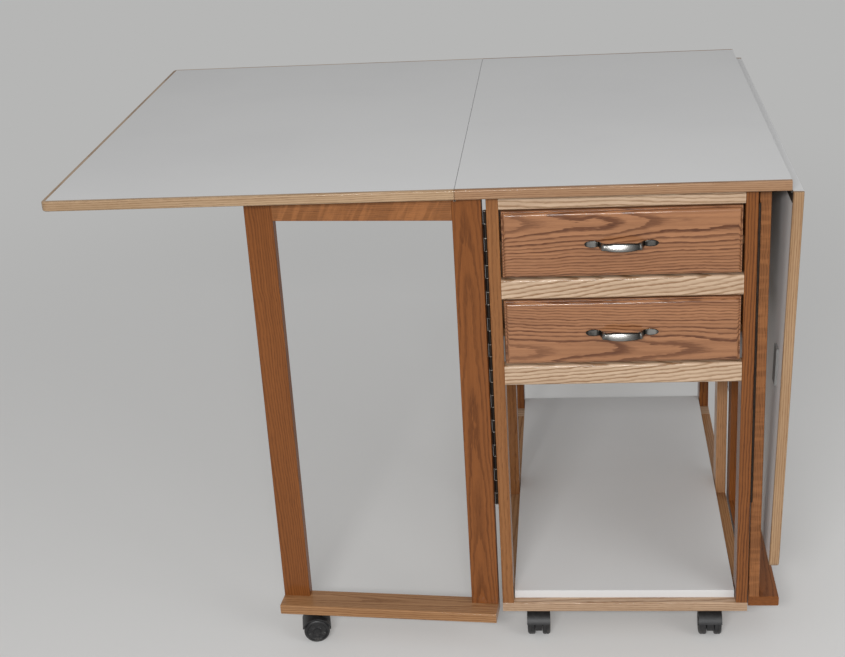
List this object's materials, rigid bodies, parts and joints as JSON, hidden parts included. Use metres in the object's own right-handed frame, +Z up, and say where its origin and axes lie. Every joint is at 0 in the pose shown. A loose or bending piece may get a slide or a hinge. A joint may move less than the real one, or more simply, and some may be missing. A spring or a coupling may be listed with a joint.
{
  "type": "folding sewing cutting table",
  "caption": "Folding sewing cutting table on casters: oak cabinet with drawers and an open shelf, white drop-leaf tops and swinging gate supports.",
  "frame": {"origin": "on the floor, under the middle of the whole table as it stands in the picture, one leaf raised and one hanging", "axes": "+X to the right as seen from the drawer side, +Y from the drawer side to the back, +Z up"},
  "size_m": [1.3012, 1.0004, 0.919],
  "materials": {
    "oak_frame": "varnished red oak, semi-gloss",
    "oak_light": "varnished pale oak, semi-gloss",
    "oak_drawer_front": "varnished flat-sawn red oak, semi-gloss",
    "drawer_wood": "sealed plain hardwood",
    "white_laminate": "white laminate, satin",
    "satin_nickel": "satin nickel",
    "hinge_steel": "plated steel, a little dark",
    "rest_rubber": "dark rubber pad, matt",
    "caster_hood": "black moulded nylon",
    "caster_wheel": "black moulded nylon"
  },
  "bodies": {
    "cabinet": {"bottom_shelf": "white_laminate", "centre_top_edging": "oak_light", "centre_top_panel": "white_laminate", "drawer_runners": "drawer_wood", "front_base_board": "oak_frame", "gate_fixed_flaps": "hinge_steel", "gate_hinge_pins": "hinge_steel", "leaf_fixed_flaps": "hinge_steel", "leaf_hinge_pins": "hinge_steel", "left_front_stile": "oak_frame", "left_middle_post": "oak_frame", "left_rear_stile": "oak_frame", "left_side_rail": "oak_frame", "lower_front_rail": "oak_light", "middle_front_rail": "oak_light", "rear_base_board": "oak_frame", "rear_rails": "oak_light", "right_front_stile": "oak_frame", "right_middle_post": "oak_frame", "right_rear_stile": "oak_frame", "right_side_rail": "oak_frame", "side_base_boards": "oak_frame", "top_front_rail": "oak_light"},
    "left_leaf": {"left_leaf_edging": "oak_light", "left_leaf_hinge_flap": "hinge_steel", "left_leaf_panel": "white_laminate", "left_leaf_rest_pad": "rest_rubber"},
    "right_leaf": {"right_leaf_edging": "oak_light", "right_leaf_hinge_flap": "hinge_steel", "right_leaf_panel": "white_laminate", "right_leaf_rest_pad": "rest_rubber"},
    "left_gate": {"left_gate_foot_board": "oak_frame", "left_gate_free_stile": "oak_frame", "left_gate_hinge_flap": "hinge_steel", "left_gate_hinge_stile": "oak_frame", "left_gate_top_rail": "oak_frame"},
    "right_gate": {"right_gate_foot_board": "oak_frame", "right_gate_free_stile": "oak_frame", "right_gate_hinge_flap": "hinge_steel", "right_gate_hinge_stile": "oak_frame", "right_gate_top_rail": "oak_frame"},
    "upper_drawer": {"upper_drawer_box": "drawer_wood", "upper_drawer_front": "oak_drawer_front", "upper_drawer_pull": "satin_nickel"},
    "lower_drawer": {"lower_drawer_box": "drawer_wood", "lower_drawer_front": "oak_drawer_front", "lower_drawer_pull": "satin_nickel"},
    "front_left_caster": {"front_left_caster_hood": "caster_hood"},
    "front_left_wheels": {"front_left_caster_wheels": "caster_wheel"},
    "front_right_caster": {"front_right_caster_hood": "caster_hood"},
    "front_right_wheels": {"front_right_caster_wheels": "caster_wheel"},
    "rear_left_caster": {"rear_left_caster_hood": "caster_hood"},
    "rear_left_wheels": {"rear_left_caster_wheels": "caster_wheel"},
    "rear_right_caster": {"rear_right_caster_hood": "caster_hood"},
    "rear_right_wheels": {"rear_right_caster_wheels": "caster_wheel"},
    "left_gate_caster": {"left_gate_caster_hood": "caster_hood"},
    "left_gate_wheels": {"left_gate_caster_wheels": "caster_wheel"},
    "right_gate_caster": {"right_gate_caster_hood": "caster_hood"},
    "right_gate_wheels": {"right_gate_caster_wheels": "caster_wheel"}
  },
  "joints": [
    {"name": "left_gate_swing", "type": "hinge", "parent": "cabinet", "child": "left_gate", "pos_m": [0.11721, -0.44282, 0.29005], "axis": [0, 0, -1], "range_deg": [-4.4, 85.6]},
    {"name": "right_gate_swing", "type": "hinge", "parent": "cabinet", "child": "right_gate", "pos_m": [0.58321, -0.44282, 0.29005], "axis": [0, 0, -1], "range_deg": [0, 0.8]},
    {"name": "left_leaf_lift", "type": "hinge", "parent": "cabinet", "child": "left_leaf", "pos_m": [0.06981, -0.48982, 0.899], "axis": [0, 1, 0], "range_deg": [0, 1.5]},
    {"name": "right_leaf_raise", "type": "hinge", "parent": "cabinet", "child": "right_leaf", "pos_m": [0.63061, -0.48982, 0.899], "axis": [0, -1, 0], "range_deg": [0, 91.5]},
    {"name": "upper_drawer_slide", "type": "slide", "parent": "cabinet", "child": "upper_drawer", "axis": [0, -1, 0], "range_m": [0, 0.36]},
    {"name": "lower_drawer_slide", "type": "slide", "parent": "cabinet", "child": "lower_drawer", "axis": [0, -1, 0], "range_m": [0, 0.36]},
    {"name": "front_left_caster_swivel", "type": "hinge", "parent": "cabinet", "child": "front_left_caster", "pos_m": [0.18741, -0.41382, 0.064], "axis": [0, 0, 1], "continuous": true},
    {"name": "front_left_wheel_spin", "type": "hinge", "parent": "front_left_caster", "child": "front_left_wheels", "pos_m": [0.18741, -0.43182, 0.025], "axis": [1, 0, 0], "continuous": true},
    {"name": "front_right_caster_swivel", "type": "hinge", "parent": "cabinet", "child": "front_right_caster", "pos_m": [0.51301, -0.41382, 0.064], "axis": [0, 0, 1], "continuous": true},
    {"name": "front_right_wheel_spin", "type": "hinge", "parent": "front_right_caster", "child": "front_right_wheels", "pos_m": [0.51301, -0.43182, 0.025], "axis": [1, 0, 0], "continuous": true},
    {"name": "rear_left_caster_swivel", "type": "hinge", "parent": "cabinet", "child": "rear_left_caster", "pos_m": [0.18741, 0.39418, 0.064], "axis": [0, 0, 1], "continuous": true},
    {"name": "rear_left_wheel_spin", "type": "hinge", "parent": "rear_left_caster", "child": "rear_left_wheels", "pos_m": [0.18741, 0.37618, 0.025], "axis": [1, 0, 0], "continuous": true},
    {"name": "rear_right_caster_swivel", "type": "hinge", "parent": "cabinet", "child": "rear_right_caster", "pos_m": [0.51301, 0.39418, 0.064], "axis": [0, 0, 1], "continuous": true},
    {"name": "rear_right_wheel_spin", "type": "hinge", "parent": "rear_right_caster", "child": "rear_right_wheels", "pos_m": [0.51301, 0.37618, 0.025], "axis": [1, 0, 0], "continuous": true},
    {"name": "left_gate_caster_swivel", "type": "hinge", "parent": "left_gate", "child": "left_gate_caster", "pos_m": [-0.22793, -0.44565, 0.064], "axis": [0, 0, 1], "continuous": true},
    {"name": "left_gate_wheel_spin", "type": "hinge", "parent": "left_gate_caster", "child": "left_gate_wheels", "pos_m": [-0.24565, -0.44877, 0.025], "axis": [0.1736, -0.9848, 0], "continuous": true},
    {"name": "right_gate_caster_swivel", "type": "hinge", "parent": "right_gate", "child": "right_gate_caster", "pos_m": [0.61251, -0.09892, 0.064], "axis": [0, 0, 1], "continuous": true},
    {"name": "right_gate_wheel_spin", "type": "hinge", "parent": "right_gate_caster", "child": "right_gate_wheels", "pos_m": [0.61251, -0.11692, 0.025], "axis": [1, 0, 0], "continuous": true}
  ]
}
